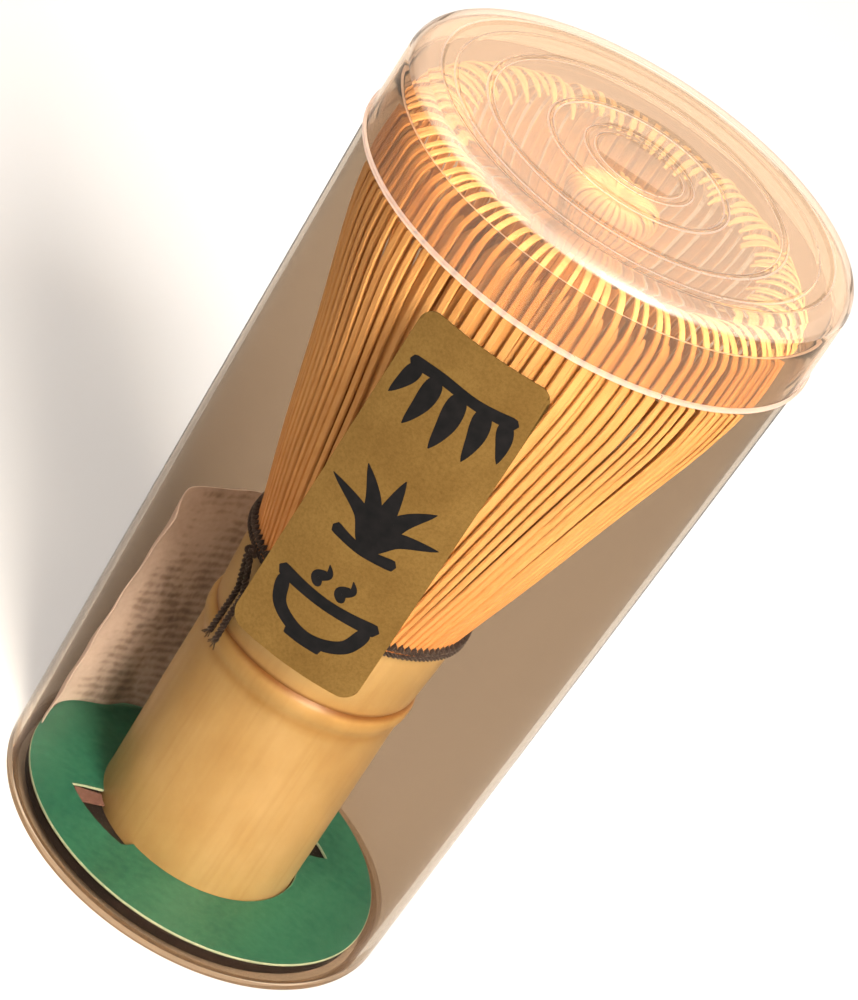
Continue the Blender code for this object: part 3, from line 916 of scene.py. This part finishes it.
def build_disc(name, low, high, hole_radius, edge, material, edge_material):
    """A flat disc with a cut hole. Its cut edges have a material of their own."""
    rings = []
    for step in range(DISC_STEPS):
        azimuth = 2 * pi * step / DISC_STEPS
        hole = hole_radius(azimuth)
        section = [
            (hole, low.z),
            (high.x - edge, low.z),
            (high.x, low.z + edge),
            (high.x, high.z - edge),
            (high.x - edge, high.z),
            (hole + edge, high.z),
            (hole, high.z - edge),
        ]
        ring = [polar(radius, azimuth, height) for radius, height in section]
        for (radius, _), point in zip(section, ring):
            if radius < SLOT_RADIUS + edge + 0.1 * MM:
                point.x += HOLE_SHIFT
        rings.append(ring)
    shape = Shape()
    shape.loft(rings, closed=True)
    disc = shape.build(name, material)
    disc.data.materials.append(edge_material)
    for face in disc.data.polygons:
        if abs(face.normal.z) < 0.9:
            face.material_index = 1
    return disc


def build_insert(card, card_edge, pad, pad_edge):
    disc = build_disc("base_card_green", card_low, card_high, card_hole, 0.06 * MM, card, card_edge)
    place(disc, "case", "green_card", "base_card")
    # The pad under the card, near black as painted shade for the gap beneath it
    disc = build_disc("base_pad_board", pad_low, pad_high, pad_hole, 0.2 * MM, pad, pad_edge)
    place(disc, "case", "brown_pad", "base_pad")


def build_card_tab(material):
    """The bent stub that the die left in the front relief."""
    steps = 8
    middle_z = (pad_high.z + card_low.z) / 2
    inner = HANDLE_RADIUS + 0.5 * MM
    rings = []
    for step in range(steps + 1):
        outer = SLOT_RADIUS - (0.35 + 0.06 * step) * MM
        sag = 0.08 * MM * sin(pi * step / steps)
        azimuth = TAB_START + TAB_SPAN * step / steps
        ring = []
        for radius, lift in ((inner, 0.2), (outer, 0.3), (outer, 0.0), (inner, -0.06)):
            ring.append(polar(radius, azimuth, middle_z + lift * MM - sag))
        rings.append(ring)
    tab = Shape()
    tab.loft(rings)
    place(tab.build("base_card_tab", material), "case", "green_card")


def build_leaflet(material):
    """A thin sheet that stands in a slack, crumpled curve, its top left corner leaning in."""
    route = smooth_route(LEAFLET_ROUTE, 12)
    height = leaflet_high.z - leaflet_low.z
    rings = []
    for index, spot in enumerate(route):
        ahead = heading(route, index)
        side = Vector((-ahead.y, ahead.x))
        along = index / (len(route) - 1)
        corner = max(0.0, 1 - along / LEAFLET_CORNER)
        outer = []
        inner = []
        for row in range(LEAFLET_ROWS + 1):
            up = row / LEAFLET_ROWS
            ripple = 0.26 * sin(9.0 * along + 5.0 * up) + 0.14 * sin(23.0 * along - 7.0 * up)
            crumple = 0.16 * sin(31.0 * along + 13.0 * up) * sin(17.0 * up + 2.0)
            lean = LEAFLET_LEAN * corner * max(0.0, (up - 0.45) / 0.55) ** 2
            middle = spot + side * ((ripple * up + crumple) * MM - 0.2 * lean) + ahead * lean
            z = leaflet_low.z + up * (height - 2.2 * MM * corner**2)
            outer.append((*(middle + side * LEAFLET_THICKNESS / 2), z))
            inner.append((*(middle - side * LEAFLET_THICKNESS / 2), z))
        rings.append(outer + inner[::-1])
    sheet = Shape()
    sheet.loft(rings)
    place(sheet.build("leaflet_sheet", material, sharp=60.0), "case", "thin_paper", "leaflet")


# ---- whisk


def build_handle(material):
    foot_z = handle_low.z
    edge = 0.6 * MM

    def out_of_round(radius, azimuth, height):
        swell = 1 + 0.004 * sin(2 * azimuth + 0.7) + 0.002 * sin(5 * azimuth)
        node_pull = exp(-(((height - 36.5 * MM) / (3.0 * MM)) ** 2))
        wander = 0.22 * MM * sin(azimuth + 1.2) + 0.1 * MM * sin(3 * azimuth)
        return radius * swell, height + wander * node_pull

    outline = [
        (HANDLE_TOP_RADIUS - 0.2 * MM, handle_high.z),
        (HANDLE_TOP_RADIUS, handle_high.z - 0.4 * MM),
        (15.5 * MM, 45.0 * MM),
        (15.25 * MM, 41.0 * MM),
        (15.1 * MM, 39.0 * MM),
        (15.0 * MM, NODE_GROOVE_Z + 0.25 * MM),
        (14.86 * MM, NODE_GROOVE_Z),
        (15.0 * MM, NODE_GROOVE_Z - 0.3 * MM),
        (15.38 * MM, 36.9 * MM),
        (15.5 * MM, 36.2 * MM),
        (15.44 * MM, 35.3 * MM),
        (15.15 * MM, NODE_LOW_Z + 0.2 * MM),
        (14.95 * MM, 33.2 * MM),
        (14.92 * MM, 31.5 * MM),
        (14.92 * MM, 26.0 * MM),
        (14.88 * MM, 15.0 * MM),
        (14.8 * MM, foot_z + 2 * edge),
    ]
    profile = [(0.0, DIAPHRAGM_TOP_Z)]
    profile += arc((HANDLE_CUP_RADIUS - edge, DIAPHRAGM_TOP_Z + edge), edge, -90, 0, 5)
    profile.append((HANDLE_CUP_RADIUS, handle_high.z - 0.2 * MM))
    profile.append((HANDLE_CUP_RADIUS + 0.2 * MM, handle_high.z))
    for first, second in zip(outline, outline[1:]):
        profile.append(first)
        profile.append(((first[0] + second[0]) / 2, (first[1] + second[1]) / 2))
    profile += arc((14.78 * MM - edge, foot_z + edge), edge, 0, -90, 5)
    profile += arc((HANDLE_BORE_RADIUS + edge, foot_z + edge), edge, 270, 180, 5)
    profile += arc((HANDLE_BORE_RADIUS - edge, DIAPHRAGM_LOW_Z - edge), edge, 0, 90, 5)
    profile.append((0.0, DIAPHRAGM_LOW_Z))
    handle = turned("whisk_handle_bamboo", profile, material, 160, out_of_round, 50.0)
    place(handle, "whisk", "handle_bamboo", "whisk_handle")


def add_strip(shape, line, azimuth_at, width_at, thickness_at, shade):
    """A strip of bamboo whose skin faces outward, along a line of (radius, height).

    Its azimuth, width and thickness are functions of the share along it.
    """
    line = [Vector(spot) for spot in line]
    rings = []
    for index, (radius, height) in enumerate(line):
        along = index / (len(line) - 1)
        run = heading(line, index)
        azimuth = azimuth_at(along)
        outward, sideways = outward_and_sideways(azimuth)
        skin = (outward * run.y - UP * run.x) * thickness_at(along)
        side = sideways * width_at(along)
        spot = polar(radius, azimuth, height)
        rings.append([spot + side * across + skin * out for across, out in TINE_SECTION])
    shape.loft(rings, shade, skins=TINE_SKIN)


def curl_over(line, reach, rise, centre_z, end_angle, steps):
    """Carries a line of (radius, height) on, over the first part of an ellipse that leans inward."""
    centre_radius = line[-1][0] - reach
    for across, up in arc((0.0, 0.0), 1.0, 4, end_angle, steps):
        line.append((centre_radius + reach * across, centre_z + rise * up))


def outer_tine(shape, number, chance):
    """A tine that rises, bends over and ends in a curl that points down and inward."""
    reach = TINE_CURL_REACH * chance.uniform(0.86, 1.06)
    rise = chance.uniform(-0.6, 0.15) * MM
    spread = chance.uniform(-0.3, 0.08) * MM
    line = []
    for radius, height in smooth_route(TINE_LINE, 4):
        share = max(0.0, (height - 60 * MM) / (50 * MM))
        line.append((radius + spread * share, height + rise * share))
    centre_z = TINE_TOP_Z + rise - TINE_CURL_RISE
    curl_over(line, reach, TINE_CURL_RISE, centre_z, chance.uniform(122, 146), 16)
    start = (number + 0.5 + chance.uniform(-0.07, 0.07)) * TINE_PITCH
    lean = chance.uniform(-0.2, 0.2) * TINE_PITCH
    sway = chance.uniform(-0.08, 0.08) * TINE_PITCH
    broad = chance.uniform(0.82, 1.18)

    def width_at(t):
        if t < 0.3:
            return (TINE_ROOT_WIDTH + (TINE_BELLY_WIDTH - TINE_ROOT_WIDTH) * t / 0.3) * broad
        fall = (TINE_TIP_WIDTH - TINE_BELLY_WIDTH) * min(1.0, (t - 0.3) / 0.35)
        return (TINE_BELLY_WIDTH + fall) * broad * (1.0 if t < 0.97 else 0.6)

    add_strip(
        shape,
        line,
        lambda t: start + lean * t**2 + sway * sin(pi * 2 * t),
        width_at,
        lambda t: TINE_THICKNESS * (1.0 - 0.4 * t),
        chance.uniform(0.35, 1.0),
    )


def backing_tine(shape, number, chance):
    """A straight tine that stands between two of the outer ones, a little further in."""
    line = []
    for radius, height in smooth_route(TINE_LINE, 4):
        share = max(0.0, (height - 90 * MM) / (20 * MM))
        depth = BACKING_DEPTH * min(1.0, 0.4 + (height - 49 * MM) / (12 * MM))
        line.append((radius - depth - 0.5 * MM * share**2, height))
    curl_over(line, BACKING_BEND, BACKING_BEND, line[-1][1], chance.uniform(34, 46), 5)
    start = (number + 1.0 + chance.uniform(-0.14, 0.14)) * TINE_PITCH
    lean = chance.uniform(-0.2, 0.2) * TINE_PITCH
    broad = chance.uniform(0.85, 1.1)

    def width_at(t):
        full = BACKING_ROOT_WIDTH + (BACKING_WIDTH - BACKING_ROOT_WIDTH) * min(1.0, t / 0.5)
        return full * broad * min(1.0, 0.35 + (1.0 - t) * 6.0)

    add_strip(
        shape,
        line,
        lambda t: start + lean * t**2,
        width_at,
        lambda t: BACKING_THICKNESS,
        chance.uniform(0.35, 0.9),
    )


def build_outer_tines(material):
    chance = random.Random(11)
    for sector in range(TINE_SECTORS):
        comb = Shape()
        for tine in range(TINES_PER_SECTOR):
            outer_tine(comb, sector * TINES_PER_SECTOR + tine, chance)
            backing_tine(comb, sector * TINES_PER_SECTOR + tine, chance)
        node = f"outer_tines_{sector + 1}"
        place(comb.build(f"{node}_split", material), "whisk", "tine_bamboo", node)


def build_inner_tines(material):
    """Pleats that stand proud, with tines set back between them that are darkened with painted shade."""
    chance = random.Random(5)
    bundle = Shape()
    for number in range(INNER_TINES):
        pleat = number % 2 == 0
        proud = (0.15 if pleat else -0.4) * MM + chance.uniform(-0.08, 0.08) * MM
        rise = chance.uniform(-0.5, 0.2) * MM if pleat else -0.5 * MM
        line = []
        for radius, height in smooth_route(INNER_LINE, 4):
            share = min(1.0, (height - INNER_LINE[0][1]) / (50 * MM))
            line.append((max(0.3 * MM, radius + proud * share), height + rise * share))
        start = 2 * pi * (number + 0.5) / INNER_TINES
        lean = chance.uniform(-0.04, 0.04)
        add_strip(
            bundle,
            line,
            lambda t: start + lean * t,
            lambda t: (0.95 - 0.3 * t**2) * MM,
            lambda t: (0.5 - 0.15 * t) * MM,
            # Set-back tines get a low shade: painted shade between the pleats
            chance.uniform(0.6, 1.0) if pleat else chance.uniform(0.0, 0.2),
        )
    piece = bundle.build("inner_tines_gathered", material)
    place(piece, "whisk", "inner_bamboo", "inner_tines")


def plied_thread(shape, route, ply_radius, turns, closed):
    """Two plies twisted round each other along a route."""
    spans = len(route) if closed else len(route) - 1
    for ply in range(2):
        strand = []
        for index, spot in enumerate(route):
            ahead = heading(route, index, closed)
            across = ahead.cross(Vector((0.31, 0.17, 0.93))).normalized()
            up = ahead.cross(across)
            angle = 2 * pi * turns * index / spans + pi * ply
            strand.append(spot + (across * cos(angle) + up * sin(angle)) * ply_radius * 0.85)
        shape.loft(tube_rings(strand, ply_radius, 6, closed), closed=closed)


def build_thread_rounds(material):
    """The lower round lies flat. The upper one climbs a little between each pair of tines."""
    lower_z, upper_z = ((low.z + high.z) / 2 for low, high in (thread_low_box, thread_high_box))
    flat_route = []
    woven_route = []
    for index in range(ROUND_POINTS):
        azimuth = 2 * pi * index / ROUND_POINTS
        wander = 0.06 * MM * sin(7 * azimuth)
        flat_route.append(polar(THREAD_ROUND_RADIUS - 0.15 * MM, azimuth, lower_z + wander))
        hook = max(0.0, cos(TINE_COUNT * azimuth)) ** 2
        radius = THREAD_ROUND_RADIUS - (0.1 + 0.45 * hook) * MM
        woven_route.append(polar(radius, azimuth, upper_z + 0.6 * MM * hook))
    lower = Shape()
    plied_thread(lower, flat_route, THREAD_PLY_RADIUS, THREAD_TURNS, True)
    piece = lower.build("thread_round_lower_plied", material)
    place(piece, "whisk", "dark_thread", "thread_round_lower")
    upper = Shape()
    upper.loft(tube_rings(woven_route, WOVEN_RADIUS, 6, True), closed=True)
    piece = upper.build("thread_round_upper_woven", material)
    place(piece, "whisk", "dark_thread", "thread_round_upper")


def build_thread_knot(material):
    """A small overhand knot: a three-lobed loop pulled tight."""
    middle = polar(KNOT_DISTANCE, KNOT_AZIMUTH, KNOT_Z)
    outward, sideways = outward_and_sideways(KNOT_AZIMUTH)
    route = []
    for index in range(KNOT_POINTS):
        turn = 2 * pi * index / KNOT_POINTS
        across = (sin(turn) + 2 * sin(2 * turn)) / 3
        above = (cos(turn) - 2 * cos(2 * turn)) / 3
        spot = sideways * across * 0.85 + UP * above * 0.75 - outward * sin(3 * turn) * 0.35
        route.append(middle + spot * MM)
    knot = Shape()
    knot.loft(tube_rings(route, KNOT_THREAD_RADIUS, 8, True), closed=True)
    place(knot.build("thread_knot_tied", material), "whisk", "dark_thread", "thread_knot")


def build_thread_tails(material):
    """The two ends hang against the handle and open into a few loose fibres."""
    chance = random.Random(3)
    outward, sideways = outward_and_sideways(KNOT_AZIMUTH)
    top_z = KNOT_Z - 0.6 * MM
    end_z = tail_low.z
    rest = HANDLE_TOP_RADIUS + 0.75 * MM
    for name, side in (("left", -1), ("right", 1)):
        route = []
        for step in range(TAIL_STEPS + 1):
            along = step / TAIL_STEPS
            settle = min(1.0, 2.5 * along)
            distance = KNOT_DISTANCE + (rest - KNOT_DISTANCE) * settle
            sway = (0.12 * sin(5.5 * along + side) + 0.8 * settle) * MM
            spread = side * TAIL_SPREAD * (0.45 + 0.55 * settle) + sway
            spot = outward * distance + sideways * spread
            spot.z = top_z + (end_z + 1.2 * MM - top_z) * along
            route.append(spot)
        tail = Shape()
        plied_thread(tail, route, TAIL_PLY_RADIUS, TAIL_TURNS, False)
        for fibre in range(TAIL_FIBRES):
            swing = sideways * chance.uniform(-0.9, 0.9) * MM
            tip = route[-1] + swing + outward * chance.uniform(-0.1, 0.5) * MM
            tip.z = end_z + chance.uniform(0.0, 0.8) * MM
            middle = (route[-1] + tip) / 2 + swing * 0.2
            hair = smooth_route([route[-3], middle, tip], 5)
            tail.loft(tube_rings(hair, FIBRE_RADIUS, 5))
        piece = tail.build(f"thread_tail_{name}_plied", material)
        place(piece, "whisk", "dark_thread", f"thread_tail_{name}")


# ---- camera, light and floor


def build_camera():
    """Looks down at the case from the front, turned so that the case leans to the right."""
    data = bpy.data.cameras.new("camera")
    data.lens = CAMERA_LENS
    data.sensor_width = 36.0
    data.clip_start = 0.01
    data.clip_end = 20.0
    camera = add_object("camera", data)
    back = Vector((0.0, -cos(CAMERA_ELEVATION), sin(CAMERA_ELEVATION)))
    level = Vector((1.0, 0.0, 0.0))
    above = back.cross(level)
    right = level * cos(CAMERA_TURN) + above * sin(CAMERA_TURN)
    up = above * cos(CAMERA_TURN) - level * sin(CAMERA_TURN)
    place_at = CAMERA_TARGET + back * CAMERA_DISTANCE
    turn = Matrix((right, up, back)).transposed().to_4x4()
    camera.matrix_world = Matrix.Translation(place_at) @ turn
    bpy.context.scene.camera = camera


def add_area_light(name, azimuth, elevation, distance, size, power, colour):
    data = bpy.data.lights.new(name, "AREA")
    data.shape = "RECTANGLE"
    data.size = size[0]
    data.size_y = size[1]
    data.energy = power
    data.color = colour
    light = add_object(name, data)
    middle = (cad_box[0] + cad_box[1]) / 2
    a = radians(azimuth)
    e = radians(elevation)
    away = Vector((sin(a) * cos(e), -cos(a) * cos(e), sin(e)))
    light.location = middle + away * distance
    light.rotation_mode = "QUATERNION"
    light.rotation_quaternion = away.to_track_quat("Z", "Y")


def build_light():
    for name, values in LIGHTS.items():
        add_area_light(name, *values)
    world = bpy.data.worlds.new("studio")
    world.use_nodes = True
    background = world.node_tree.nodes["Background"]
    set_inputs(world.node_tree, background, Color=(1.0, 0.76, 0.56, 1.0), Strength=0.22)
    bpy.context.scene.world = world
    view = bpy.context.scene.view_settings
    view.view_transform = "Standard"
    view.look = "None"
    view.exposure = 0.0


def build_floor():
    material, tree, shader = new_material("pale_floor")
    grain = noise(tree, (6.0, 6.0, 6.0), 2.0)
    colour = ramp(tree, grain, [(0.3, (0.70, 0.715, 0.73)), (0.7, (0.72, 0.735, 0.75))])
    set_inputs(tree, shader, Base_Color=colour, Roughness=0.9)
    mesh = bpy.data.meshes.new("floor")
    half = FLOOR_SIZE / 2
    corners = [(-half, -half, 0.0), (half, -half, 0.0), (half, half, 0.0), (-half, half, 0.0)]
    mesh.from_pydata(corners, [], [(0, 1, 2, 3)])
    mesh.materials.append(material)
    floor = add_object("floor", mesh)
    floor.location.z = -FLOOR_DROP


def build_object():
    plastic = {name: clear_plastic(name, *values) for name, values in PLASTICS.items()}
    edge_painted_highlight = plastic["milky_plastic_painted_highlight"]
    build_case_tube(plastic["clear_tube_plastic"], edge_painted_highlight, plastic["clear_foot_plastic_painted_shade"])
    build_case_lid(
        plastic["clear_lid_plastic"], edge_painted_highlight, plastic["clear_lid_top_plastic"], plastic["lid_rim_plastic"]
    )
    build_label(gold_paper())
    build_motifs(black_ink())
    build_insert(
        card_material("green_card_face", (0.012, 0.12, 0.082), (0.034, 0.20, 0.135), 0.36, 0.2),
        card_material("green_card_cut", (0.36, 0.50, 0.38), (0.50, 0.62, 0.48), 0.7, 0.4),
        # The pad is near black: painted shade for the dark gap beneath the card
        card_material("pad_face_painted_shade", (0.006, 0.003, 0.0025), (0.016, 0.009, 0.007), 0.85, 0.5),
        card_material("pad_cut_painted_shade", (0.006, 0.003, 0.0025), (0.016, 0.008, 0.006), 0.9, 0.6),
    )
    build_card_tab(
        card_material("card_underside", (0.16, 0.085, 0.075), (0.24, 0.14, 0.12), 0.8, 0.4)
    )
    build_leaflet(leaflet_paper())
    build_handle(bamboo_skin())
    build_outer_tines(
        bamboo_tine("bamboo_outer_tine", (0.85, 0.38, 0.13), (0.90, 0.56, 0.24), (0.74, 0.53, 0.24))
    )
    # The inner tines' root and belly colours are darker: painted shade inside the ring of outer tines
    build_inner_tines(
        bamboo_tine("bamboo_inner_tine_painted_shade", (0.50, 0.22, 0.07), (0.54, 0.27, 0.09), (0.90, 0.70, 0.34))
    )
    thread = thread_material()
    build_thread_rounds(thread)
    build_thread_knot(thread)
    build_thread_tails(thread)


build_camera()
build_light()
build_floor()
build_object()
